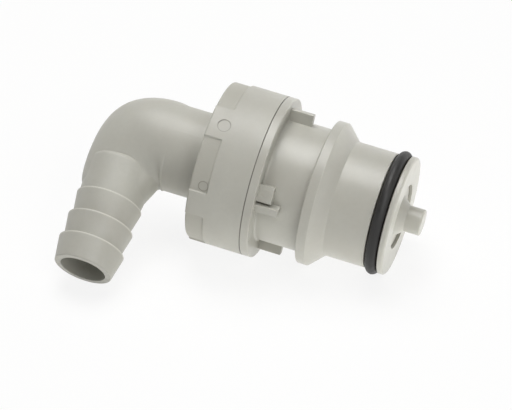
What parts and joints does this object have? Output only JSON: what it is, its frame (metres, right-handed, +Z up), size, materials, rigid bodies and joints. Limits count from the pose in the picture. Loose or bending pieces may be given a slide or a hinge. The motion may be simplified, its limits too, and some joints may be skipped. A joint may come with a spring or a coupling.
{
  "type": "quick disconnect coupling insert",
  "caption": "Plastic elbow insert of a quick disconnect coupling: hose barb, bend, welded collar, ribbed neck, latch ring, sealed nose and spring-loaded valve poppet.",
  "frame": {"origin": "on the main axis, in the weld seam between collar and insert", "axes": "+Z up with the part lying at rest on flange, latch ring and barb mouth; the main axis lies in the XZ plane and points to the nose along +X, dipped by about 8.8 degrees; the barb leg points to -Y and down"},
  "size_m": [0.0739, 0.0488, 0.0366],
  "materials": {
    "polypropylene": "moulded, satin, warm light grey",
    "seal_rubber": "moulded rubber, matt black",
    "spring_steel": "drawn stainless wire"
  },
  "bodies": {
    "coupling_body": {"elbow_body": "polypropylene", "insert_body": "polypropylene", "nose_ring": "seal_rubber", "spring_guide": "polypropylene", "valve_spring": "spring_steel"},
    "valve": {"valve_poppet": "polypropylene", "poppet_ring": "seal_rubber"}
  },
  "joints": [
    {"name": "valve_slide", "type": "slide", "parent": "coupling_body", "child": "valve", "axis": [-0.9883, 0, 0.1524], "range_m": [0, 0.005], "stiffness_N_per_m": 500, "springref_m": -0.008, "deforming": ["valve_spring"]}
  ]
}
